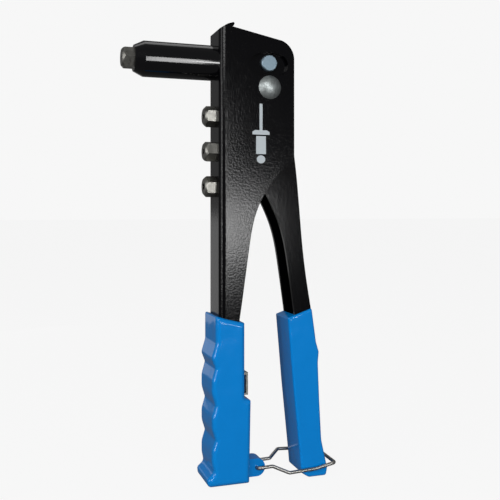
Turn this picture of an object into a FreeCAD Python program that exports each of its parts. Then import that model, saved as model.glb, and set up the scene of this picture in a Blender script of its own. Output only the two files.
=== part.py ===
"""Hand riveter: a pressed-steel body with a fixed handle, a lever, a pulling head and a wire latch.

Millimetres. Origin: the mouth of the fitted nosepiece, on the nose axis.
+X runs from the nose back into the body, +Z is up along the handles, and Y is the width.
The lever stands in its latched position.
"""
import FreeCAD, Part
import math
import os

V = FreeCAD.Vector

# ---- body: a steel channel, folded so that its closed web faces forward ----
BODY_WIDTH = 24.0            # outside to outside of the two side plates
SHEET = 2.3                  # body sheet thickness
BEND_RADIUS = 3.6            # outside radius of the fold between web and side plate
WEB_X = 54.0                 # front face of the web
BODY_REAR_X = WEB_X + 45.1           # rear edge of the head's side plates
BODY_TOP_Z = 19.3            # top edge of the side plates, just behind the lip
HANDLE_END_Z = -236.0        # lower end of the steel handle
LIP_REACH = 9.2              # how far the curled lip runs back over the top

# ---- pivot and drive pin ----
PIVOT_X = WEB_X + 30.0       # the drive pin stands above the pivot, on the nose axis
PIVOT_R = 4.4
PIVOT_HEAD_R = 6.8
BUSH_WALL = 0.9
PIVOT_HEAD_HEIGHT = 3.1
DRIVE_PIN_R = 4.8
PIN_SPACING = 5.0            # steel between the drive pin and the pivot pin
SLOT_GAP = 1.5               # drive pin to the edge of the curved slot
SLOT_FRONT_DEG = 26.0        # slot ends, measured at the pivot from straight up
SLOT_REAR_DEG = 20.0

# ---- nose ----
BARREL_R = 10.1
BARREL_FRONT_X = 6.8
BARREL_FRONT_R = 7.5
BARREL_CONE = 5.4            # length of the coned front end
BARREL_BORE_X = 15.0         # where the wide bore starts
BARREL_TAIL = 5.0            # how far that tail stands behind the web
BARREL_WALL = 1.2            # thinnest wall, at the tail
NUT_WALL = 1.6

# ---- nosepieces ----
HEX_FLATS = 11.0             # fitted nosepiece, across flats
SPARE_HEX_FLATS = 10.6
SPARE_HEAD = 6.6             # spare's head height in front of the web
SHANK_R = 4.0                # nominal thread radius
SHANK_LENGTH = 8.2
SPARE_SHANK_LENGTH = 8.0
FITTED_BORE_R = 1.05
MOUTH = 0.3                  # chamfer at a spare's mouth
NOSE_TAIL = 3.0              # length of the cone behind the shank
SPARE_BORES_R = (1.25, 1.45, 1.7)
SPARE_TOP_Z = -31.1
SPARE_PITCH = 20.3
SPARE_TURN_DEG = (30.0, 13.0, 38.0)   # how far each spare happens to be screwed round

# ---- pulling head ----
STROKE_ROOM = 6.0            # free travel in front of the jaw case
CASE_TO_WEB = 8.5            # back of the jaw case to the front of the web
CASE_WALL = 1.34
JAW_LENGTH = 9.6
JAW_CONE = 11.0              # length of the cone inside the case
JAW_BORE_R = 1.3
ROD_SIDE_GAP = 1.7           # rod's flat tail to the lever's cheeks
SPRING_WIRE_R = 0.7
SEAT_LENGTH = 4.0
JAW_TRAVEL = 1.3             # how far a squeeze from the latched position pulls the jaw case

# ---- lever: a steel channel, open towards the fixed handle ----
LEVER_SHEET = 2.0
LEVER_SIDE_GAP = 0.4         # lever cheek to body side plate

# ---- grips and latch ----
GRIP_WALL = 1.7              # grip wall on the sides of the steel
GRIP_EDGE_R = 2.8
LEVER_GRIP_EDGE_R = 1.4
GRIP_TOP_Z = -145.5
GRIP_END_Z = -241.9
LATCH_WIRE_R = 1.0
LATCH_BEND = 1.8
LATCH_X = WEB_X + 24.3               # the latch's pivot line in the lug
LATCH_Z = -236.0
LATCH_END_X = WEB_X + 71.0
LUG_HALF = 5.0
LUG_R = 5.2
TAB_X = WEB_X + 18.4                 # back of the steel strip that stands out of the fixed grip
TAB_HALF = 6.5
TAB_SHEET = 1.2
TAB_LOW_Z = -192.6
TAB_HIGH_Z = -179.6

# ---- clearances ----
RUN_FIT = 0.06               # radial, shaft in hole
FREE_GAP = 0.3               # between parts that pass each other
PIN_PLAY = 0.35              # drive pin in the rod's slot, along the nose

HALF = BODY_WIDTH / 2
INNER_HALF = HALF - SHEET
LEVER_HALF = INNER_HALF - LEVER_SIDE_GAP
LOCK_NUT_R = INNER_HALF - FREE_GAP
BARREL_TAIL_R = LOCK_NUT_R - NUT_WALL
BARREL_BORE_R = BARREL_TAIL_R - BARREL_WALL
ROD_R = BARREL_BORE_R - 2 * SPRING_WIRE_R - 1.0
CASE_R = BARREL_BORE_R - RUN_FIT
CASE_BORE_R = CASE_R - CASE_WALL
CASE_MOUTH_R = CASE_BORE_R / 2
CHEEK_INNER = LEVER_HALF - LEVER_SHEET
ROD_TAIL_HALF = CHEEK_INNER - ROD_SIDE_GAP
GRIP_HALF = HALF + GRIP_WALL
LEVER_GRIP_HALF = LEVER_HALF + GRIP_WALL
PULL_RADIUS = PIVOT_R + DRIVE_PIN_R + PIN_SPACING
PIVOT_Z = -PULL_RADIUS
SLOT_HALF = DRIVE_PIN_R + SLOT_GAP
NOSEPIECE_TAIL_X = BARREL_FRONT_X + SHANK_LENGTH + NOSE_TAIL
CASE_FRONT_X = NOSEPIECE_TAIL_X + STROKE_ROOM
CASE_REAR_X = WEB_X - CASE_TO_WEB
BARREL_TAIL_X = WEB_X + SHEET + BARREL_TAIL


# ---- drawing helpers: outlines lie in the XZ plane, solids are spread evenly about Y = 0 ----

def at(x, z, y=0.0):
    return V(x, y, z)


def line(*points):
    """Straight edges through (x, z) points."""
    corners = [at(*p) for p in points]
    return [Part.makeLine(a, b) for a, b in zip(corners, corners[1:])]


def arc(start, middle, end):
    return [Part.Arc(at(*start), at(*middle), at(*end)).toShape()]


def curve(*points):
    """One smooth edge through (x, z) points."""
    spline = Part.BSplineCurve()
    spline.interpolate([at(*p) for p in points])
    return [spline.toShape()]


def rounded(*corners):
    """Closed outline through (x, z, radius) corners: straight runs joined by tangent arcs."""
    points = [at(x, z) for x, z, radius in corners]
    count = len(points)
    bends = []
    for index, corner in enumerate(points):
        to_before = (points[index - 1] - corner).normalize()
        to_after = (points[(index + 1) % count] - corner).normalize()
        half_angle = to_before.getAngle(to_after) / 2
        radius = corners[index][2]
        run = radius / math.tan(half_angle)
        middle = corner + (to_before + to_after).normalize() * (radius / math.sin(half_angle) - radius)
        bends.append((corner + to_before * run, middle, corner + to_after * run))
    edges = []
    for index, (entry, middle, leave) in enumerate(bends):
        edges.append(Part.Arc(entry, middle, leave).toShape())
        edges.append(Part.makeLine(leave, bends[(index + 1) % count][0]))
    return edges


def slab(edges, half_width):
    """The outline's solid, from -half_width to +half_width in Y."""
    face = Part.Face(Part.Wire(edges))
    face.translate(V(0, -half_width, 0))
    return face.extrude(V(0, 2 * half_width, 0))


def box(x0, x1, y0, y1, z0, z1):
    return Part.makeBox(x1 - x0, y1 - y0, z1 - z0, V(x0, y0, z0))


def rod_x(radius, x0, x1, z=0.0, y=0.0):
    return Part.makeCylinder(radius, x1 - x0, V(x0, y, z), V(1, 0, 0))


def rod_y(radius, y0, y1, x, z):
    return Part.makeCylinder(radius, y1 - y0, V(x, y0, z), V(0, 1, 0))


def cone_x(r0, r1, x0, x1, z=0.0):
    return Part.makeCone(r0, r1, x1 - x0, V(x0, 0, z), V(1, 0, 0))


def upright_edges(shape, x, tolerance=0.01):
    """The straight edges along Z that lie at this x."""
    found = []
    for edge in shape.Edges:
        bounds = edge.BoundBox
        if abs(bounds.XMin - x) < tolerance and bounds.XLength < tolerance \
                and bounds.YLength < tolerance and bounds.ZLength > 1:
            found.append(edge)
    return found


def side_edges(shape, half_width):
    """The outline edges on both side faces of a slab."""
    found = []
    for edge in shape.Edges:
        bounds = edge.BoundBox
        if bounds.YLength < 0.01 and abs(abs(bounds.YMin) - half_width) < 0.01:
            found.append(edge)
    return found


# ---- body ----

def body_outline():
    """Side plate and fixed handle. The rear edge sweeps in from the head to the handle."""
    top_front = (WEB_X, BODY_TOP_Z - 2.0)
    lip_foot = (WEB_X + 4.4, BODY_TOP_Z + 0.4)
    lip_back = (WEB_X + LIP_REACH - 1.4, BODY_TOP_Z)
    shoulder = (BODY_REAR_X - 7.6, BODY_TOP_Z - 5.9)
    rear_top = (BODY_REAR_X, BODY_TOP_Z - 17.2)
    rear_low = (BODY_REAR_X, -56.8)
    handle_rear = (WEB_X + 8.5, HANDLE_END_Z)
    edges = line(top_front, lip_foot, lip_back, shoulder)
    edges += arc(shoulder, (BODY_REAR_X - 1.9, BODY_TOP_Z - 10.3), rear_top)
    edges += line(rear_top, rear_low)
    edges += curve(rear_low, (WEB_X + 35.5, -64.1), (WEB_X + 27.2, -75.0), (WEB_X + 20.4, -91.0),
                   (WEB_X + 17.2, -108.5), (WEB_X + 14.6, -127.0), (WEB_X + 11.6, -147.8))
    edges += line((WEB_X + 11.6, -147.8), handle_rear, (WEB_X, HANDLE_END_Z), top_front)
    return edges


def body_envelope():
    """The body as if it were solid, with its two folds rounded."""
    solid = slab(body_outline(), HALF)
    return solid.makeFillet(BEND_RADIUS, upright_edges(solid, WEB_X))


def curled_lip():
    """The web's upper end, turned back over the top edges of the side plates into a small hook."""
    foot_z = BODY_TOP_Z - 9.0
    inner_x = WEB_X + SHEET
    tip_x = WEB_X + LIP_REACH
    edges = rounded((WEB_X, foot_z, 0.3), (WEB_X, BODY_TOP_Z - 1.3, 0.8),
                    (WEB_X + 4.6, BODY_TOP_Z + 1.5, 3.0), (tip_x, BODY_TOP_Z + 3.0, 0.7),
                    (tip_x - 1.2, BODY_TOP_Z + 0.5, 0.4), (WEB_X + 4.4, BODY_TOP_Z - 0.8, 1.5),
                    (inner_x, BODY_TOP_Z - 2.6, 0.8), (inner_x, foot_z, 0.3))
    plan = box(WEB_X, WEB_X + 20, -HALF, HALF, foot_z - 1, BODY_TOP_Z + 10)
    plan = plan.makeFillet(BEND_RADIUS, upright_edges(plan, WEB_X))
    return slab(edges, HALF).common(plan)


def curved_slot():
    """The slot that the drive pin travels in, struck from the pivot."""
    inner = PULL_RADIUS - SLOT_HALF
    outer = PULL_RADIUS + SLOT_HALF

    def spot(radius, degrees):
        a = math.radians(degrees)
        return (PIVOT_X + radius * math.sin(a), PIVOT_Z + radius * math.cos(a))

    def end_middle(degrees, way):
        a = math.radians(degrees)
        x, z = spot(PULL_RADIUS, degrees)
        return (x + way * SLOT_HALF * math.cos(a), z - way * SLOT_HALF * math.sin(a))

    front, rear = -SLOT_FRONT_DEG, SLOT_REAR_DEG
    middle = (front + rear) / 2
    edges = arc(spot(outer, front), spot(outer, middle), spot(outer, rear))
    edges += arc(spot(outer, rear), end_middle(rear, 1), spot(inner, rear))
    edges += arc(spot(inner, rear), spot(inner, middle), spot(inner, front))
    edges += arc(spot(inner, front), end_middle(front, -1), spot(outer, front))
    return slab(edges, HALF + 5)


def spare_z(index):
    return SPARE_TOP_Z - index * SPARE_PITCH


def body_channel():
    hollow = box(WEB_X + SHEET, WEB_X + 150, -INNER_HALF, INNER_HALF, HANDLE_END_Z - 5, 60)
    hollow = hollow.makeFillet(BEND_RADIUS - SHEET, upright_edges(hollow, WEB_X + SHEET))
    channel = body_envelope().cut(hollow)
    channel = channel.fuse(curled_lip())
    channel = channel.cut(curved_slot())
    channel = channel.cut(rod_y(PIVOT_R, -HALF - 1, HALF + 1, PIVOT_X, PIVOT_Z))
    channel = channel.cut(rod_x(BARREL_TAIL_R, WEB_X - 1, WEB_X + SHEET + 1))
    for index in range(len(SPARE_BORES_R)):
        channel = channel.cut(rod_x(SHANK_R, WEB_X - 1, WEB_X + SHEET + 1, spare_z(index)))
    return channel.removeSplitter()


# ---- nose ----

def nose_barrel():
    cone_end = BARREL_FRONT_X + BARREL_CONE
    saddle_x = WEB_X + 1.8
    barrel = cone_x(BARREL_FRONT_R, BARREL_R, BARREL_FRONT_X, cone_end)
    barrel = barrel.fuse(rod_x(BARREL_R, cone_end, saddle_x))
    barrel = barrel.cut(body_envelope())
    barrel = barrel.fuse(rod_x(BARREL_TAIL_R, WEB_X - 1, BARREL_TAIL_X))
    barrel = barrel.cut(rod_x(SHANK_R, 0, BARREL_BORE_X + 1))
    barrel = barrel.cut(rod_x(BARREL_BORE_R, BARREL_BORE_X, BARREL_TAIL_X + 1))
    return barrel.removeSplitter()


def barrel_lock_nut():
    x0 = WEB_X + SHEET
    fold = BEND_RADIUS - SHEET
    nut = cone_x(LOCK_NUT_R - fold, LOCK_NUT_R, x0, x0 + fold)
    nut = nut.fuse(rod_x(LOCK_NUT_R, x0 + fold, x0 + BARREL_TAIL))
    nut = nut.cut(rod_x(BARREL_TAIL_R, x0 - 1, x0 + BARREL_TAIL + 1))
    for turn in range(4):
        notch = box(x0 + 2, x0 + BARREL_TAIL + 1, -1.2, 1.2, BARREL_TAIL_R + 0.7, LOCK_NUT_R + 1)
        notch.rotate(V(0, 0, 0), V(1, 0, 0), 90 * turn + 45)
        nut = nut.cut(notch)
    return nut


def spring_seat():
    """Guide bush in the barrel's tail: the return spring bears on it and the rod runs in it."""
    seat = rod_x(BARREL_BORE_R, BARREL_TAIL_X - SEAT_LENGTH, BARREL_TAIL_X)
    return seat.cut(rod_x(ROD_R + RUN_FIT, BARREL_TAIL_X - SEAT_LENGTH - 1, BARREL_TAIL_X + 1))


def nosepiece(head_x, head_length, flats, shank_length, bore_r, z, turn_deg):
    """Hex head with a crowned face, threaded shank, and the cone that opens the jaws when fitted."""
    corner_r = flats / math.sqrt(3)
    corners = []
    for step in range(7):
        a = math.radians(60 * step)
        corners.append(V(head_x, corner_r * math.cos(a), corner_r * math.sin(a)))
    head = Part.Face(Part.makePolygon(corners)).extrude(V(head_length, 0, 0))
    crown = cone_x(flats / 2 * 0.86, corner_r + 0.2, head_x, head_x + 1.8)
    crown = crown.fuse(rod_x(corner_r + 0.2, head_x + 1.8, head_x + head_length))
    head = head.common(crown)
    head.rotate(V(0, 0, 0), V(1, 0, 0), turn_deg)
    head.translate(V(0, 0, z))
    shank_x = head_x + head_length
    piece = head.fuse(rod_x(SHANK_R, shank_x, shank_x + shank_length, z))
    piece = piece.fuse(cone_x(SHANK_R - 0.8, SHANK_R - 1.9, shank_x + shank_length,
                              shank_x + shank_length + NOSE_TAIL, z))
    return piece.cut(rod_x(bore_r, head_x - 1, shank_x + shank_length + NOSE_TAIL + 1, z))


def fitted_nosepiece():
    return nosepiece(0.0, BARREL_FRONT_X, HEX_FLATS, SHANK_LENGTH, FITTED_BORE_R, 0.0, 0.0)


def spare_nosepiece(index):
    head_x = WEB_X - SPARE_HEAD
    bore_r = SPARE_BORES_R[index]
    z = spare_z(index)
    piece = nosepiece(head_x, SPARE_HEAD, SPARE_HEX_FLATS, SPARE_SHANK_LENGTH, bore_r, z,
                      SPARE_TURN_DEG[index])
    return piece.cut(cone_x(bore_r + MOUTH, bore_r, head_x, head_x + MOUTH, z))


# ---- pivot ----

def pivot_pin():
    """Domed head on the near side, shank through both plates, ring groove at the far end."""
    bulge_r = (PIVOT_HEAD_R ** 2 + PIVOT_HEAD_HEIGHT ** 2) / (2 * PIVOT_HEAD_HEIGHT)
    ball = Part.makeSphere(bulge_r, V(PIVOT_X, -HALF - PIVOT_HEAD_HEIGHT + bulge_r, PIVOT_Z))
    head = ball.common(rod_y(PIVOT_HEAD_R, -HALF - PIVOT_HEAD_HEIGHT - 1, -HALF, PIVOT_X, PIVOT_Z))
    far_end = HALF + 3.6
    pin = head.fuse(rod_y(PIVOT_R, -HALF, far_end, PIVOT_X, PIVOT_Z))
    groove = rod_y(PIVOT_R + 1, HALF + 1.4, HALF + 2.5, PIVOT_X, PIVOT_Z)
    groove = groove.cut(rod_y(PIVOT_R - 0.9, HALF, HALF + 4, PIVOT_X, PIVOT_Z))
    return pin.cut(groove)


def pivot_washer():
    washer = rod_y(PIVOT_HEAD_R + 0.8, HALF, HALF + 1.4, PIVOT_X, PIVOT_Z)
    return washer.cut(rod_y(PIVOT_R, HALF - 1, HALF + 2, PIVOT_X, PIVOT_Z))


def pivot_circlip():
    """E-ring in the pivot's groove."""
    y0, y1 = HALF + 1.4, HALF + 2.5
    ring = rod_y(PIVOT_HEAD_R, y0, y1, PIVOT_X, PIVOT_Z)
    ring = ring.cut(rod_y(PIVOT_R - 0.9, y0 - 1, y1 + 1, PIVOT_X, PIVOT_Z))
    mouth = PIVOT_R - 0.9
    ring = ring.cut(box(PIVOT_X - mouth, PIVOT_X + mouth, y0 - 1, y1 + 1, PIVOT_Z - 9, PIVOT_Z))
    for side in (-1, 1):
        ring = ring.cut(rod_y(1.3, y0 - 1, y1 + 1, PIVOT_X + side * 4.4, PIVOT_Z + 2.6))
    return ring


# ---- lever ----

def lever_outline():
    """Cheek of the lever: struck from the pivot at its head, so that it closes the curved slots from
    inside, then swept back below the body and straight in the grip."""
    head_r = PULL_RADIUS + SLOT_HALF + 1.6
    front_x = PIVOT_X - 13.5
    rear_x = PIVOT_X + 12.6
    front_top = (front_x, PIVOT_Z + math.sqrt(head_r ** 2 - (PIVOT_X - front_x) ** 2))
    rear_top = (rear_x, PIVOT_Z + math.sqrt(head_r ** 2 - (rear_x - PIVOT_X) ** 2))
    edges = arc(front_top, (PIVOT_X, PIVOT_Z + head_r), rear_top)
    edges += line(rear_top, (rear_x, -14.0), (WEB_X + 46.3, -54.0))
    edges += curve((WEB_X + 46.3, -54.0), (WEB_X + 48.7, -76.4), (WEB_X + 51, -103.0),
                   (WEB_X + 54, -127.0), (WEB_X + 57.2, -146.0), (WEB_X + 59.6, -164.0))
    edges += line((WEB_X + 59.6, -164.0), (WEB_X + 62.4, -233.0), (WEB_X + 53.8, -233.0),
                  (WEB_X + 48.2, -160.0))
    edges += curve((WEB_X + 48.2, -160.0), (WEB_X + 46.6, -147.4), (WEB_X + 42.6, -119.5),
                   (WEB_X + 37.4, -95.0), (WEB_X + 30.6, -79.5), (WEB_X + 23.6, -66.0))
    edges += line((WEB_X + 23.6, -66.0), (WEB_X + 21, -50.0), (WEB_X + 21, -34.0),
                  (front_x, -24.0), front_top)
    return edges


def lever_channel():
    """Two cheeks joined by a web along the rear edge, from below the rod's tail downwards."""
    envelope = slab(lever_outline(), LEVER_HALF)
    hollow = slab(lever_outline(), CHEEK_INNER)
    hollow.translate(V(-LEVER_SHEET, 0, 0))
    upper_room = box(WEB_X, WEB_X + 56, -CHEEK_INNER, CHEEK_INNER, -30, 20)
    lever = envelope.cut(hollow).cut(upper_room)
    lever = lever.cut(box(WEB_X, WEB_X + 57, -CHEEK_INNER, CHEEK_INNER, -240, -231))
    lever = lever.cut(rod_y(DRIVE_PIN_R, -HALF, HALF, PIVOT_X, 0.0))
    bore = pivot_bush_bore()
    lever = lever.cut(bore)
    return lever.removeSplitter()


def pivot_bush_bore():
    """The hole in the lever's cheeks that the bush is pressed into."""
    return rod_y(PIVOT_R + BUSH_WALL, -HALF, HALF, PIVOT_X, PIVOT_Z)


def pivot_bush():
    bush = rod_y(PIVOT_R + BUSH_WALL, -LEVER_HALF, LEVER_HALF, PIVOT_X, PIVOT_Z)
    return bush.cut(rod_y(PIVOT_R + RUN_FIT, -HALF, HALF, PIVOT_X, PIVOT_Z))


def drive_pin():
    """Plain pin with bevelled ends, through both cheeks and both curved slots."""
    length_half = HALF - 0.3
    pin = rod_y(DRIVE_PIN_R, -length_half, length_half, PIVOT_X, 0.0)
    ends = [edge for edge in pin.Edges if edge.BoundBox.YLength < 0.01]
    return pin.makeChamfer(0.5, ends)


# ---- pulling head ----

def jaw_case():
    """Tube with an inner cone at its front: the three jaws wedge shut in it."""
    case = rod_x(CASE_R, CASE_FRONT_X, CASE_REAR_X)
    cone_end = CASE_FRONT_X + JAW_CONE
    case = case.cut(cone_x(CASE_MOUTH_R, CASE_BORE_R, CASE_FRONT_X, cone_end))
    return case.cut(rod_x(CASE_BORE_R, cone_end, CASE_REAR_X + 1))


def gripping_jaw(index):
    """One of three wedges, each a third of a cone less the gaps between them."""
    x0 = CASE_FRONT_X + 1.0
    x1 = x0 + JAW_LENGTH
    grow = (CASE_BORE_R - CASE_MOUTH_R) / JAW_CONE
    front_r = CASE_MOUTH_R + grow - 2 * RUN_FIT
    cone = cone_x(front_r, front_r + grow * JAW_LENGTH, x0, x1)
    cone = cone.cut(rod_x(JAW_BORE_R, x0 - 1, x1 + 1))
    reach = 8.0
    rise = reach / math.sqrt(3)
    gap = 0.5
    wedge = Part.Face(Part.makePolygon([V(x0 - 1, 0, gap),
                                        V(x0 - 1, reach, gap + rise),
                                        V(x0 - 1, reach, 2 * reach),
                                        V(x0 - 1, -reach, 2 * reach),
                                        V(x0 - 1, -reach, gap + rise),
                                        V(x0 - 1, 0, gap)]))
    wedge = wedge.extrude(V(x1 - x0 + 2, 0, 0))
    jaw = cone.common(wedge)
    jaw.rotate(V(0, 0, 0), V(1, 0, 0), 120 * index)
    return jaw


def jaw_pusher():
    x0 = CASE_FRONT_X + 10.8
    pusher = rod_x(CASE_BORE_R - FREE_GAP, x0, x0 + 3.0)
    pusher = pusher.fuse(rod_x(CASE_BORE_R - 1.7, x0 + 3.0, x0 + 6.0))
    return pusher.cut(rod_x(JAW_BORE_R, x0 - 1, x0 + 7))


def close_coil(x0, x1, inner_r, wire_r):
    """Spring squeezed until its turns touch, about the nose axis, drawn as a row of joined rings."""
    length = x1 - x0 - 2 * wire_r
    turns = int(length / (1.8 * wire_r)) + 2
    coil = None
    for turn in range(turns):
        x = x0 + wire_r + length * turn / (turns - 1)
        ring = Part.makeTorus(inner_r + wire_r, wire_r, V(x, 0, 0), V(1, 0, 0))
        coil = ring if coil is None else coil.fuse(ring)
    return coil


def jaw_spring():
    x0 = CASE_FRONT_X + 13.8
    return close_coil(x0 + 0.1, CASE_REAR_X - 2.1, CASE_BORE_R - 1.5, 0.5)


def pull_rod():
    """Screwed into the jaw case, run through the seat, flattened round the drive pin."""
    rod = rod_x(CASE_BORE_R, CASE_REAR_X - 2.0, CASE_REAR_X)
    rod = rod.fuse(rod_x(ROD_R, CASE_REAR_X, WEB_X + 20))
    tail = box(BARREL_TAIL_X + STROKE_ROOM, PIVOT_X + 9.5, -ROD_TAIL_HALF, ROD_TAIL_HALF,
               -DRIVE_PIN_R - 3.5, DRIVE_PIN_R + 2.6)
    tail = tail.makeFillet(2.0, [e for e in tail.Edges if e.BoundBox.YLength > 1])
    rod = rod.fuse(tail)
    drop = PULL_RADIUS * (1 - math.cos(math.radians(SLOT_FRONT_DEG))) + FREE_GAP
    half_x = DRIVE_PIN_R + PIN_PLAY
    window = rod_y(half_x, -HALF, HALF, PIVOT_X, 0.0)
    window = window.fuse(rod_y(half_x, -HALF, HALF, PIVOT_X, -drop))
    window = window.fuse(box(PIVOT_X - half_x, PIVOT_X + half_x, -HALF, HALF, -drop, 0.0))
    rod = rod.cut(window)
    return rod.cut(rod_x(JAW_BORE_R, CASE_REAR_X - 3, WEB_X + 16)).removeSplitter()


def return_spring():
    start = CASE_REAR_X + JAW_TRAVEL + 0.1
    return close_coil(start, BARREL_TAIL_X - SEAT_LENGTH - 0.1, ROD_R + 0.5, SPRING_WIRE_R)


# ---- grips ----

def front_grip():
    """Sleeve on the fixed handle: finger swells in front, a lip at the foot, a lug for the latch."""
    front = WEB_X - 2.6
    swell = WEB_X - 4.8
    crease = WEB_X - 2.8
    lip = WEB_X - 7.6
    back = WEB_X + 14.6
    edges = rounded((front, GRIP_TOP_Z, 0.8), (front, -161.5, 8), (WEB_X - 5, -169.3, 4.0),
                    (crease, -175.0, 2.5),
                    (swell, -182.3, 12), (swell, -189.4, 12), (crease, -196.0, 2.5),
                    (swell, -202.8, 12), (swell, -209.2, 12), (crease, -215.6, 2.5),
                    (swell, -222.0, 12), (swell, -228.4, 12), (WEB_X - 3.6, -234.0, 3),
                    (lip, -237.4, 2.0), (lip + 0.6, GRIP_END_Z, 2.2),
                    (back + 2.9, GRIP_END_Z, 0.8), (back + 3.8, -194.6, 0.6),
                    (back, -193.0, 1.0), (back, GRIP_TOP_Z - 4.4, 0.8))
    grip = slab(edges, GRIP_HALF)
    grip = grip.makeFillet(GRIP_EDGE_R, front_edges(grip, GRIP_HALF))
    grip = grip.fuse(latch_lug())
    grip = grip.cut(body_envelope())
    grip = grip.cut(rod_y(LATCH_WIRE_R + RUN_FIT, -LUG_HALF - 1, LUG_HALF + 1, LATCH_X, LATCH_Z))
    return grip.cut(tab_window())


def front_edges(shape, half_width):
    """The side edges ahead of the steel, where the sleeve is widely rounded."""
    return [edge for edge in side_edges(shape, half_width) if edge.BoundBox.XMax < WEB_X + 1.0]


def latch_lug():
    lug = rod_y(LUG_R, -LUG_HALF, LUG_HALF, LATCH_X, LATCH_Z)
    return lug.fuse(box(WEB_X + 16.5, LATCH_X, -LUG_HALF, LUG_HALF, LATCH_Z - LUG_R, LATCH_Z + LUG_R))


def tab_window():
    reach = TAB_HALF + FREE_GAP
    return box(WEB_X + 6, WEB_X + 26, -reach, reach, TAB_LOW_Z - 0.4, TAB_HIGH_Z + 0.4)


def stop_tab():
    """Bent steel strip on the fixed handle, standing out through the grip's window."""
    foot_x = WEB_X + 7.4
    strip = box(foot_x, TAB_X, -TAB_HALF, TAB_HALF, TAB_LOW_Z, TAB_HIGH_Z)
    strip = strip.cut(box(foot_x - 1, TAB_X - TAB_SHEET, -HALF, HALF, TAB_LOW_Z + TAB_SHEET,
                          TAB_HIGH_Z - TAB_SHEET))
    for z in (TAB_LOW_Z - 2.0, TAB_HIGH_Z - TAB_SHEET):
        strip = strip.fuse(box(foot_x, foot_x + TAB_SHEET, -INNER_HALF, INNER_HALF, z,
                               z + TAB_SHEET + 2.0))
    return strip


def lever_grip():
    """Sleeve on the lever: flat front, swelling rear, cut back at the foot to pass the lug."""
    edges = rounded((WEB_X + 57, -143.5, 0.8), (WEB_X + 41.8, -148.6, 0.8),
                    (WEB_X + 45.4, -190.0, 60), (WEB_X + 49.7, -232.4, 8),
                    (WEB_X + 50.4, -240.4, 2.0), (WEB_X + 55, -243.4, 4), (WEB_X + 66.2, -243.4, 1.5),
                    (WEB_X + 67, -239.0, 1.5), (WEB_X + 63.2, -221.9, 20), (WEB_X + 61.9, -198.0, 40),
                    (WEB_X + 61, -176.0, 6), (WEB_X + 61.6, -169.5, 3), (WEB_X + 59.8, -163.6, 4))
    grip = slab(edges, LEVER_GRIP_HALF)
    grip = grip.makeFillet(LEVER_GRIP_EDGE_R, side_edges(grip, LEVER_GRIP_HALF))
    core = slab(lever_outline(), LEVER_HALF)
    return grip.cut(core)


# ---- latch ----

def bent_wire(points, bend_r, wire_r):
    """Round wire through the points, with every corner bent to the same radius."""
    edges = []
    start = points[0]
    for before, corner, after in zip(points, points[1:], points[2:]):
        to_before = (before - corner).normalize()
        to_after = (after - corner).normalize()
        half_angle = to_before.getAngle(to_after) / 2
        run = bend_r / math.tan(half_angle)
        entry = corner + to_before * run
        leave = corner + to_after * run
        inward = (to_before + to_after).normalize()
        middle = corner + inward * (bend_r / math.sin(half_angle) - bend_r)
        edges.append(Part.makeLine(start, entry))
        edges.append(Part.Arc(entry, middle, leave).toShape())
        start = leave
    edges.append(Part.makeLine(start, points[-1]))
    path = Part.Wire(edges)
    ring = Part.Wire(Part.Circle(points[0], points[1] - points[0], wire_r).toShape())
    return path.makePipeShell([ring], True, True)


def latch_wire():
    """Sprung wire loop: its ends turn into the lug, its far end lies behind the lever's grip."""
    narrow = LUG_HALF + LATCH_BEND + 0.1
    wide = LEVER_GRIP_HALF + 0.6 + LATCH_WIRE_R
    points = [V(LATCH_X, -0.8, LATCH_Z),
              V(LATCH_X, -narrow, LATCH_Z),
              V(LATCH_X + 9.2, -narrow, LATCH_Z + 0.3),
              V(LATCH_X + 17.6, -wide, LATCH_Z - 2.6),
              V(LATCH_X + 34.2, -wide, LATCH_Z - 1.9),
              V(LATCH_END_X, -wide, LATCH_Z + 0.4),
              V(LATCH_END_X, wide, LATCH_Z + 0.4),
              V(LATCH_X + 26.7, wide, LATCH_Z + 3.2),
              V(LATCH_X + 19.5, wide, LATCH_Z + 3.6),
              V(LATCH_X + 12.3, narrow, LATCH_Z + 0.3),
              V(LATCH_X, narrow, LATCH_Z),
              V(LATCH_X, 0.8, LATCH_Z)]
    return bent_wire(points, LATCH_BEND, LATCH_WIRE_R)


NODES = {
    "body_channel": body_channel,
    "nose_barrel": nose_barrel,
    "barrel_lock_nut": barrel_lock_nut,
    "spring_seat": spring_seat,
    "fitted_nosepiece": fitted_nosepiece,
    "pivot_pin": pivot_pin,
    "pivot_washer": pivot_washer,
    "pivot_circlip": pivot_circlip,
    "front_grip": front_grip,
    "stop_tab": stop_tab,
    "return_spring": return_spring,
    "lever_channel": lever_channel,
    "pivot_bush": pivot_bush,
    "drive_pin": drive_pin,
    "lever_grip": lever_grip,
    "jaw_case": jaw_case,
    "pull_rod": pull_rod,
    "jaw_pusher": jaw_pusher,
    "jaw_spring": jaw_spring,
    "latch_wire": latch_wire,
}


def main():
    os.makedirs("parts", exist_ok=True)
    shapes = {name: make() for name, make in NODES.items()}
    for index in range(len(SPARE_BORES_R)):
        shapes["spare_nosepiece_%d" % (index + 1)] = spare_nosepiece(index)
    for index in range(3):
        shapes["gripping_jaw_%d" % (index + 1)] = gripping_jaw(index)
    for name, shape in shapes.items():
        box_of = shape.BoundBox
        print("%-20s solids %d valid %s volume %9.1f  x %.1f..%.1f z %.1f..%.1f" % (
            name, len(shape.Solids), shape.isValid(), shape.Volume,
            box_of.XMin, box_of.XMax, box_of.ZMin, box_of.ZMax))
        shape.exportStep("parts/%s.step" % name)


main()
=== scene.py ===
# %% [markdown]
# # A hand riveter, in Blender
#
# The tool's shapes come from its CAD model, which is loaded as a frame of named pieces. This
# lesson gives each piece the finish that the real one has, adds a printed sign and painted shade
# on the walls of three small bores, and sets up a studio. Everything is in metres, in the CAD
# model's own
# frame: +X runs back along the nose axis, +Z is up, and the near side plate faces -Y.

# %% Load the frame
import math

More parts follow.
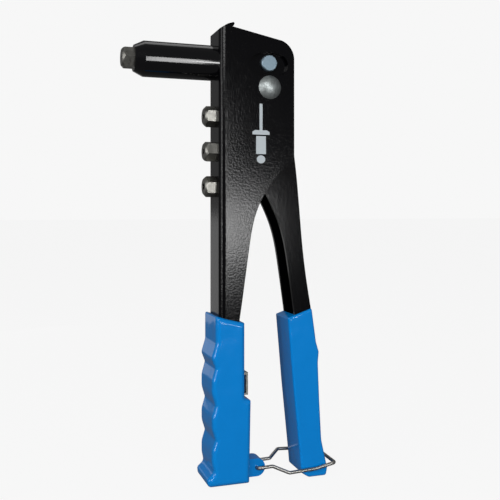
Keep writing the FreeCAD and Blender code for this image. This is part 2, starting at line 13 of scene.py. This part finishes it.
import bpy
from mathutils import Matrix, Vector


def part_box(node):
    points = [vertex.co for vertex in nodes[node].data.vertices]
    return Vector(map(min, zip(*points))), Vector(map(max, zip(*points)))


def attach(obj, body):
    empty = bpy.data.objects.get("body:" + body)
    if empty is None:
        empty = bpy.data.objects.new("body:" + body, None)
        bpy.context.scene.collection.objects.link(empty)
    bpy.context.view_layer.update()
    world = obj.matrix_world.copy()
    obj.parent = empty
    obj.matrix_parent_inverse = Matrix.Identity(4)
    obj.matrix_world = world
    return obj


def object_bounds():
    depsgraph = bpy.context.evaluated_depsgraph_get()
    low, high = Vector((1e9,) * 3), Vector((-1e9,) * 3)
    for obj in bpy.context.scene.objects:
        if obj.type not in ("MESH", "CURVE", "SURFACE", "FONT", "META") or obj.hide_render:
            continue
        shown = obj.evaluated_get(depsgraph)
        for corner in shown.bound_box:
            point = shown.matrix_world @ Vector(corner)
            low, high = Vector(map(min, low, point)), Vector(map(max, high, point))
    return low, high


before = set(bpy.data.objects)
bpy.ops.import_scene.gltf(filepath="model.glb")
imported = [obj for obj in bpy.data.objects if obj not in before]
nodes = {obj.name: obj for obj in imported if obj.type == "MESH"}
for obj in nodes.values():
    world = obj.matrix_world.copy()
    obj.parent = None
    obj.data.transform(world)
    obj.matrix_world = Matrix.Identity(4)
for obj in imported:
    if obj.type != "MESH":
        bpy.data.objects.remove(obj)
cad_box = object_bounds()
print("loaded", len(nodes), "pieces, box", cad_box)

# %% [markdown]
# ## Colours
#
# Colours are picked as sRGB hex values, the way a paint card gives them, but shaders work in
# linear light. The values could be converted by hand, but then nobody could check them against a
# paint card, so one function does it.

# %% Colour helper


def linear(hex_colour):
    """sRGB hex to the linear RGBA that shaders use."""
    values = []
    for start in (1, 3, 5):
        value = int(hex_colour[start:start + 2], 16) / 255
        values.append(value / 12.92 if value <= 0.04045 else ((value + 0.055) / 1.055) ** 2.4)
    return (*values, 1.0)


print("mid grey in linear light:", round(linear("#808080")[0], 3))

# %% [markdown]
# ## Materials as trees of nodes
#
# A material is a tree of nodes. Each node could be made, set and linked in lines of its own, but
# three lines a node hide the idea of the material. One function adds a node with its settings and
# its links in a single call. Two more begin a material and put it on its pieces.

# %% Node helper


def add_node(tree, kind, settings=None, inputs=None):
    """Adds a node. An input is a plain value, or a socket of another node to link from."""
    node = tree.nodes.new(kind)
    for name, value in (settings or {}).items():
        setattr(node, name, value)
    for name, value in (inputs or {}).items():
        if isinstance(value, bpy.types.NodeSocket):
            tree.links.new(value, node.inputs[name])
        else:
            node.inputs[name].default_value = value
    return node


# %% Begin a finish, and put it on its pieces


def new_finish(name):
    """An empty material, its tree, its output node and the object's own coordinates."""
    material = bpy.data.materials.new(name)
    material.use_nodes = True
    tree = material.node_tree
    tree.nodes.clear()
    output = add_node(tree, "ShaderNodeOutputMaterial")
    place = add_node(tree, "ShaderNodeTexCoord").outputs["Object"]
    return material, tree, output, place


def finish_all(material, *names):
    """Puts one finish on several CAD pieces."""
    for name in names:
        for material_slot in nodes[name].material_slots:
            material_slot.material = material
    print(material.name, "on", ", ".join(names))


# %% [markdown]
# ## The scale of a pattern
#
# A noise texture's scale is in cycles per metre here, because the coordinates are in metres. The
# size of a dimple or a dent is better known in millimetres, so a small function turns one into the
# other. A pattern then keeps its real size on every piece.

# %% Scale helper
MM = 0.001


def per_mm(size_mm):
    """Noise scale, in cycles per metre, for features of this size."""
    return 1.0 / (size_mm * MM)


print("one millimetre dimples need a scale of", per_mm(1.0))

# %% [markdown]
# ## Black powder coat on the pressed-steel body and lever
#
# Both channels are sheet steel, pressed and powder coated in black. The powder melts into a skin
# with an orange peel: shallow dimples, about a millimetre across on the body and wider on the
# lever, that break a highlight into flecks. The sheet under it is not quite flat either.
#
# The dimples could be displaced geometry, but they are only about two hundredths of a millimetre
# deep, so bump is enough. A noise texture, cut to a smooth range so that the dimples have level
# floors, drives the bump, and a second, slower noise under it bends the sheet.
#
# The powder is a polyester with an IOR near 1.5. Its specular level was turned down from the usual
# 0.5 until the coat looked as black as the real one.

# %% Powder coat recipe
POWDER_BLACK = "#050507"
PAINT_IOR = 1.5
SHEET_WAVE_MM = 14.0
WAVE_SHARE = 0.3            # the sheet's waves are this share of a dimple's depth
DIMPLE_FLOOR, DIMPLE_RIM = 0.36, 0.66


def powder_coat(name, dimple_mm, depth_mm, roughness, gloss=0.22):
    """A black coat with dimples of this width and depth. Gloss is the specular level."""
    material, tree, output, place = new_finish(name)
    dimples = add_node(tree, "ShaderNodeTexNoise", {"noise_dimensions": "3D"},
                       {"Vector": place, "Scale": per_mm(dimple_mm), "Detail": 2.0,
                        "Roughness": 0.5})
    peel = add_node(tree, "ShaderNodeMapRange", {"interpolation_type": "SMOOTHSTEP"},
                    {"Value": dimples.outputs["Fac"], "From Min": DIMPLE_FLOOR,
                     "From Max": DIMPLE_RIM})
    waves = add_node(tree, "ShaderNodeTexNoise", None,
                     {"Vector": place, "Scale": per_mm(SHEET_WAVE_MM), "Detail": 1.0})
    sheet = add_node(tree, "ShaderNodeBump", None,
                     {"Height": waves.outputs["Fac"], "Strength": 1.0,
                      "Distance": depth_mm * WAVE_SHARE * MM})
    bump = add_node(tree, "ShaderNodeBump", None,
                    {"Height": peel.outputs["Result"], "Strength": 1.0,
                     "Distance": depth_mm * MM, "Normal": sheet.outputs["Normal"]})
    skin = add_node(tree, "ShaderNodeBsdfPrincipled", None,
                    {"Base Color": linear(POWDER_BLACK), "Roughness": roughness,
                     "IOR": PAINT_IOR, "Specular IOR Level": gloss,
                     "Normal": bump.outputs["Normal"]})
    tree.links.new(skin.outputs["BSDF"], output.inputs["Surface"])
    return material


# %% Powder coat on the two channels
body_powder = powder_coat("black_powder_coat", dimple_mm=1.1, depth_mm=0.018, roughness=0.13)
lever_powder = powder_coat("black_powder_coat_lever", dimple_mm=2.4, depth_mm=0.008,
                           roughness=0.13)
finish_all(body_powder, "body_channel")
finish_all(lever_powder, "lever_channel")

# %% [markdown]
# ## Black enamel on the barrel
#
# The barrel is turned steel, dipped in black enamel. Enamel flows flatter than powder, so one long
# clean highlight runs along the barrel. It could have a recipe of its own, but it is still a black
# paint on steel. The powder's recipe serves, with dimples so wide and shallow that they only make
# the highlight waver, and with the full specular level of a smooth paint.

# %% Barrel enamel
barrel_enamel = powder_coat("black_enamel", dimple_mm=3.4, depth_mm=0.004, roughness=0.1,
                            gloss=0.5)
finish_all(barrel_enamel, "nose_barrel")

# %% [markdown]
# ## Plated and bare metals
#
# The nosepieces are turned from hexagon bar and nickel plated. The pivot pin is zinc plated, the
# drive pin is zinc with a bluish passivation, the latch is drawn spring wire, and the bush in the
# lever is sintered bronze. All are metals, so they keep the shader's default IOR, and their colour
# is the colour of what they reflect.
#
# What tells them apart is roughness and how it varies, because a surface that has been tumbled and
# handled is never even. The variation could be painted on, but one soft noise per metal gives it
# from the real size of the mottling. The same noise drives a bump of a hundredth of a millimetre
# or less.

# %% Metal recipe
SMOOTHEST, ROUGHEST = 0.75, 1.3     # the roughness varies between these shares of its value
MOTTLE_LOW, MOTTLE_HIGH = 0.3, 0.7


def handled_metal(name, hex_colour, roughness, mottle_mm, dent_mm):
    """A metal whose roughness and dents follow one noise of this size."""
    material, tree, output, place = new_finish(name)
    mottle = add_node(tree, "ShaderNodeTexNoise", None,
                      {"Vector": place, "Scale": per_mm(mottle_mm), "Detail": 3.0})
    wear = add_node(tree, "ShaderNodeMapRange", None,
                    {"Value": mottle.outputs["Fac"], "From Min": MOTTLE_LOW,
                     "From Max": MOTTLE_HIGH, "To Min": roughness * SMOOTHEST,
                     "To Max": roughness * ROUGHEST})
    bump = add_node(tree, "ShaderNodeBump", None,
                    {"Height": mottle.outputs["Fac"], "Strength": 1.0, "Distance": dent_mm * MM})
    metal = add_node(tree, "ShaderNodeBsdfPrincipled", None,
                     {"Base Color": linear(hex_colour), "Metallic": 1.0,
                      "Roughness": wear.outputs["Result"], "Normal": bump.outputs["Normal"]})
    tree.links.new(metal.outputs["BSDF"], output.inputs["Surface"])
    return material


# %% Metals
nickel = handled_metal("nickel_plated_steel", "#8F8E89", 0.36, 1.6, 0.0015)
zinc = handled_metal("zinc_plated_steel", "#A2A8A8", 0.5, 1.3, 0.006)
blue_zinc = handled_metal("blue_passivated_zinc", "#8396A2", 0.46, 1.3, 0.004)
spring_wire = handled_metal("drawn_spring_wire", "#A7A6A3", 0.34, 1.5, 0.01)
bronze = handled_metal("sintered_bronze", "#A8854E", 0.45, 0.6, 0.01)
finish_all(nickel, "fitted_nosepiece", "spare_nosepiece_1", "spare_nosepiece_2",
           "spare_nosepiece_3", "barrel_lock_nut", "spring_seat", "pivot_circlip", "stop_tab",
           "jaw_case", "pull_rod", "jaw_pusher", "gripping_jaw_1", "gripping_jaw_2",
           "gripping_jaw_3")
finish_all(zinc, "pivot_pin", "pivot_washer")
finish_all(blue_zinc, "drive_pin")
finish_all(spring_wire, "latch_wire", "return_spring", "jaw_spring")
finish_all(bronze, "pivot_bush")

# %% [markdown]
# ## Blue vinyl on the grips
#
# The sleeves are soft PVC, moulded and pushed over the steel. The skin is glossy, with slow
# ripples a centimetre or so across where it stretches, and a fine grain. The ripples could be
# modelled, but they are too shallow to change the outline, so two bumps in a chain give them: the
# slow one bends the surface, and the fine one rides on it.
#
# PVC has an IOR of about 1.53. It is opaque, so the blue pigment is the base colour and no light
# passes through.

# %% Vinyl recipe
VINYL_IOR = 1.53
RIPPLE_MM, RIPPLE_HEIGHT_MM = 13.0, 0.5
GRAIN_MM, GRAIN_HEIGHT_MM = 1.2, 0.006


def vinyl(name, hex_colour, roughness, gloss):
    """Glossy soft plastic with ripples and a grain. Gloss is the specular level."""
    material, tree, output, place = new_finish(name)
    ripples = add_node(tree, "ShaderNodeTexNoise", None,
                       {"Vector": place, "Scale": per_mm(RIPPLE_MM), "Detail": 1.0})
    grain = add_node(tree, "ShaderNodeTexNoise", None,
                     {"Vector": place, "Scale": per_mm(GRAIN_MM), "Detail": 2.0})
    slow = add_node(tree, "ShaderNodeBump", None,
                    {"Height": ripples.outputs["Fac"], "Strength": 1.0,
                     "Distance": RIPPLE_HEIGHT_MM * MM})
    fine = add_node(tree, "ShaderNodeBump", None,
                    {"Height": grain.outputs["Fac"], "Strength": 1.0,
                     "Distance": GRAIN_HEIGHT_MM * MM, "Normal": slow.outputs["Normal"]})
    skin = add_node(tree, "ShaderNodeBsdfPrincipled", None,
                    {"Base Color": linear(hex_colour), "Roughness": roughness,
                     "IOR": VINYL_IOR, "Specular IOR Level": gloss,
                     "Normal": fine.outputs["Normal"]})
    tree.links.new(skin.outputs["BSDF"], output.inputs["Surface"])
    return material


# %% Vinyl on the two grips
blue_vinyl = vinyl("blue_pvc", "#0083D6", roughness=0.12, gloss=0.45)
finish_all(blue_vinyl, "front_grip", "lever_grip")

# %% [markdown]
# ## Pale ink
#
# The side plate carries a sign, pad printed in one pale grey. Pad ink is a resin, matt beside the
# paint around it, with an IOR near 1.5. It could be mixed into the powder coat's material, but
# then it would need a mask. A finish of its own, on pieces of its own, is simpler. The film lies
# flat and even, so it has no bump.

# %% Ink
INK_IOR = 1.5
ink, ink_tree, ink_output, _ = new_finish("pale_print_ink")
ink_skin = add_node(ink_tree, "ShaderNodeBsdfPrincipled", None,
                    {"Base Color": linear("#B4BDC2"), "Roughness": 0.55, "IOR": INK_IOR})
ink_tree.links.new(ink_skin.outputs["BSDF"], ink_output.inputs["Surface"])
print("made", ink.name)

# %% [markdown]
# ## A flat piece from an outline
#
# The sign is made of flat pieces. A plane with a picture on it would blur when seen from close by.
# A prism in mesh code keeps crisp edges at any distance, and it can be exported as it is.

# %% Prism helper


def prism(name, outline, y_front, y_back, material, body):
    """A flat piece from an outline of (x, z) points in millimetres, between two Y values."""
    count = len(outline)
    points = [(x * MM, y * MM, z * MM) for y in (y_front, y_back) for x, z in outline]
    faces = [tuple(range(count)), tuple(reversed(range(count, 2 * count)))]
    for index in range(count):
        after = (index + 1) % count
        faces.append((index, index + count, after + count, after))
    mesh = bpy.data.meshes.new(name)
    mesh.from_pydata(points, [], faces)
    mesh.update()
    mesh.materials.append(material)
    piece = bpy.data.objects.new(name, mesh)
    bpy.context.scene.collection.objects.link(piece)
    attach(piece, body)
    return piece


def oval(x, z, radius_x, radius_z, steps=40):
    """The outline of an oval as (x, z) points."""
    turn = 2 * math.pi / steps
    return [(x + radius_x * math.cos(i * turn), z + radius_z * math.sin(i * turn))
            for i in range(steps)]


# %% [markdown]
# ## The printed sign
#
# The sign is a plain picture of a blind rivet: the mandrel, the flange, the sleeve and the
# mandrel's head. A real film of ink is about a hundredth of a millimetre thick. Here the prisms
# stand three hundredths proud of the plate, so that the two surfaces can't flicker, and are sunk
# one hundredth into it.

# %% Sign of a rivet
PLATE_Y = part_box("body_channel")[0][1] / MM
INK_Y = PLATE_Y - 0.03
INK_ROOT_Y = PLATE_Y + 0.01
SIGN_X = 78.5
SIGN_TOP = -24.0
HEAD_DROP = -32.0
sign_parts = {
    "sign_mandrel": [(-0.9, 0.0), (0.9, 0.0), (0.9, -15.2), (-0.9, -15.2)],
    "sign_flange": [(-5.2, -16.2), (-3.6, -15.2), (3.6, -15.2), (5.2, -16.2), (5.2, -17.8),
                    (-5.2, -17.8)],
    "sign_sleeve": [(-3.0, -18.6), (3.0, -18.6), (3.0, -29.0), (-3.0, -29.0)],
    "sign_mandrel_head": oval(0.0, HEAD_DROP, 2.6, 2.3),
}
for part_name, outline in sign_parts.items():
    placed = [(SIGN_X + x, SIGN_TOP + z) for x, z in outline]
    prism(part_name, placed, INK_Y, INK_ROOT_Y, ink, "frame")
print("sign of", len(sign_parts), "parts at y", INK_Y)

# %% [markdown]
# ## Painted shade in the bores
#
# Little light gets into a nosepiece's narrow bore, so the three spares show dark eyes. That shade
# is painted here: the wall could be a darker metal, but instead it gets a rough, nearly black,
# non-metallic coat that reflects very little.

# %% Painted shade for the bores
SHADE_COAT_IOR = 1.5
# Painted shade: a nearly black coat for the bores' walls, which are dark only from shade.
shade_coat, dark_tree, dark_output, _ = new_finish("painted_bore_shade")
dark_skin = add_node(dark_tree, "ShaderNodeBsdfPrincipled", None,
                     {"Base Color": linear("#0B0A09"), "Roughness": 0.7, "IOR": SHADE_COAT_IOR,
                      "Specular IOR Level": 0.1})
dark_tree.links.new(dark_skin.outputs["BSDF"], dark_output.inputs["Surface"])
print("made", shade_coat.name)

# %% [markdown]
# ## Sleeves of painted shade in the spares' bores
#
# The finish of a CAD piece covers the whole piece, so the painted shade on the bore's wall needs a
# piece of its own. A dark disc over the mouth would close the bore. A thin open sleeve just inside
# the wall leaves it open from end to end, as it is on the real nosepiece.

# %% Sleeve helper
SLEEVE_WALL_MM = 0.08
SLEEVE_SIDES = 32


def shade_sleeve(name, front_x, back_x, z, outer_mm):
    """An open tube along X, lined with the bores' painted shade. All lengths are in millimetres.
    """
    inner_mm = outer_mm - SLEEVE_WALL_MM
    rings = ((front_x, outer_mm), (back_x, outer_mm), (back_x, inner_mm), (front_x, inner_mm))
    points = []
    for x, radius in rings:
        for side in range(SLEEVE_SIDES):
            turn = 2 * math.pi * side / SLEEVE_SIDES
            points.append((x * MM, radius * math.cos(turn) * MM,
                           (z + radius * math.sin(turn)) * MM))
    faces = []
    for ring in range(len(rings)):
        start, after_start = ring * SLEEVE_SIDES, (ring + 1) % len(rings) * SLEEVE_SIDES
        for side in range(SLEEVE_SIDES):
            after = (side + 1) % SLEEVE_SIDES
            faces.append((start + side, start + after, after_start + after, after_start + side))
    mesh = bpy.data.meshes.new(name)
    mesh.from_pydata(points, [], faces)
    mesh.update()
    mesh.materials.append(shade_coat)
    sleeve = bpy.data.objects.new(name, mesh)
    bpy.context.scene.collection.objects.link(sleeve)
    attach(sleeve, "frame")
    return sleeve


# %% Sleeves
# Each sleeve is painted shade: a dark lining where the bore is dark only from shade.
SPARE_BORES_MM = (1.25, 1.45, 1.7)      # the radii of the spares' bores, as in the CAD model
MOUTH_GAP_MM, TAIL_GAP_MM, WALL_GAP_MM = 0.02, 0.1, 0.01
for number, bore_mm in enumerate(SPARE_BORES_MM, start=1):
    low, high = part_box("spare_nosepiece_%d" % number)
    middle_z = (low[2] + high[2]) / 2 / MM
    shade_sleeve("bore_sleeve_%d" % number, low[0] / MM + MOUTH_GAP_MM, high[0] / MM - TAIL_GAP_MM,
                middle_z, bore_mm - WALL_GAP_MM)
    print("bore", number, "at z", round(middle_z, 2))

# %% [markdown]
# ## The floor
#
# The tool stands on a plain pale ground. A white floor under strong lamps would do, but it would
# throw pale light up at the black paint, and its tone would change with every lamp. This floor
# glows in its own pale tone, and keeps a weak diffuse part that takes a faint shadow.
#
# The Light Path node tells a camera's ray from the others. Rays that come from the tool, such as
# reflections in its paint, meet a much dimmer floor, as they would in a dark studio.

# %% Floor
PALE = "#F7F7F7"
FLOOR_GREY = "#3F3F3F"
FLOOR_GLOW = 0.97
FLOOR_LIGHT = 0.12
FLOOR_GAP = 0.6 * MM
FLOOR_SIDE = 30.0
floor_z = cad_box[0][2] - FLOOR_GAP
bpy.ops.mesh.primitive_plane_add(size=FLOOR_SIDE, location=(0, 0, floor_z))
floor = bpy.context.object
floor.name = "floor"
floor_finish, floor_tree, floor_output, _ = new_finish("pale_floor")
floor_skin = add_node(floor_tree, "ShaderNodeBsdfPrincipled", None,
                      {"Base Color": linear(FLOOR_GREY), "Roughness": 1.0,
                       "Specular IOR Level": 0.0, "Emission Color": linear(PALE),
                       "Emission Strength": FLOOR_GLOW})
floor_dim = add_node(floor_tree, "ShaderNodeEmission", None,
                     {"Color": linear(PALE), "Strength": FLOOR_LIGHT})
floor_seen = add_node(floor_tree, "ShaderNodeLightPath").outputs["Is Camera Ray"]
floor_mix = add_node(floor_tree, "ShaderNodeMixShader", None,
                     {0: floor_seen, 1: floor_dim.outputs["Emission"],
                      2: floor_skin.outputs["BSDF"]})
floor_tree.links.new(floor_mix.outputs["Shader"], floor_output.inputs["Surface"])
floor.data.materials.append(floor_finish)
print("floor at z", round(floor_z, 4))

# %% [markdown]
# ## The room
#
# The room behind the floor works the same way. The camera sees it as pale as the floor, so that
# the horizon hardly shows, while the tool is lit and reflected by a dim room, which keeps its
# black paint black.

# %% Room
ROOM_LIGHT = 0.17
world = bpy.data.worlds.new("pale_room")
bpy.context.scene.world = world
world.use_nodes = True
room = world.node_tree
room.nodes.clear()
seen_ground = add_node(room, "ShaderNodeBackground", None,
                       {"Color": linear(PALE), "Strength": 1.0}).outputs["Background"]
dim_room = add_node(room, "ShaderNodeBackground", None,
                    {"Color": linear(PALE), "Strength": ROOM_LIGHT}).outputs["Background"]
seen = add_node(room, "ShaderNodeLightPath").outputs["Is Camera Ray"]
mixed = add_node(room, "ShaderNodeMixShader", None, {0: seen, 1: dim_room, 2: seen_ground})
add_node(room, "ShaderNodeOutputWorld", None, {"Surface": mixed.outputs["Shader"]})
print("room light", ROOM_LIGHT)

# %% [markdown]
# ## The lamps
#
# Black gloss shows only what it reflects, so each lamp is placed for the surface that mirrors it.
# All are soft rectangles aimed at the tool's middle, and none is itself seen by the camera.
#
# - key_softbox, on the nose side, lights the narrow front faces and the nosepieces.
# - barrel_strip, close in front, is the highlight along the barrel.
# - low_softbox is mirrored by the side plate below the sign, as a sweep of light.
# - web_softbox, behind, brightens the lower front face, which sees it at a grazing angle.
# - edge_strip draws thin lights along the rounded edges of the grips.
# - grip_softbox, high in front, is the main light, and it brings out the vinyl's colour.
# - top_softbox, above and behind, catches the upper faces.
#
# One big lamp would be simpler, but every face would then have the same grey sheen.

# %% Lamps
LAMPS = {       # place, width and height in metres, then watts
    "key_softbox": ((-0.9, -0.35, 0.05), 0.5, 0.9, 3.0),
    "barrel_strip": ((0.15, -0.56, -0.08), 0.08, 0.26, 0.7),
    "low_softbox": ((0.36, -1.0, -0.12), 0.12, 0.12, 1.0),
    "web_softbox": ((-0.12, 0.6, -0.2), 0.3, 0.22, 0.09),
    "edge_strip": ((-0.8, -0.5, -0.1), 0.06, 0.5, 1.5),
    "grip_softbox": ((-0.35, -1.2, 0.5), 0.8, 0.5, 8.0),
    "top_softbox": ((0.05, 0.3, 0.85), 0.7, 0.4, 1.2),
}
middle = Vector([(low + high) / 2 for low, high in zip(*cad_box)])
for lamp_name, (place, width, height, watts) in LAMPS.items():
    light = bpy.data.lights.new(lamp_name, "AREA")
    light.shape = "RECTANGLE"
    light.size = width
    light.size_y = height
    light.energy = watts
    lamp = bpy.data.objects.new(lamp_name, light)
    bpy.context.scene.collection.objects.link(lamp)
    lamp.location = place
    lamp.rotation_euler = (Vector(place) - middle).to_track_quat("Z", "Y").to_euler()
    lamp.visible_camera = False
print(len(LAMPS), "lamps aimed at", tuple(round(value, 3) for value in middle))

# %% [markdown]
# ## The camera
#
# The camera stands close, about 0.4 m away, level, and looks a little from the nose side, so the
# narrow front face of the body shows beside its side plate. It could be tilted down to take in the
# handles, but upright edges would then lean. A small vertical shift frames the whole tool instead.

# %% Camera
CAMERA_PLACE = (-0.0613, -0.4121, -0.0864)
CAMERA_TURN = -18.4
camera_data = bpy.data.cameras.new("camera")
camera_data.lens = 52.9
camera_data.sensor_width = 36.0
camera_data.shift_y = -0.076
camera_data.clip_start = 0.01
camera = bpy.data.objects.new("camera", camera_data)
bpy.context.scene.collection.objects.link(camera)
camera.location = CAMERA_PLACE
camera.rotation_euler = (math.radians(90), 0, math.radians(CAMERA_TURN))
bpy.context.scene.camera = camera
bpy.context.scene.view_settings.view_transform = "Standard"
print("camera at", CAMERA_PLACE, "turned", CAMERA_TURN, "degrees")
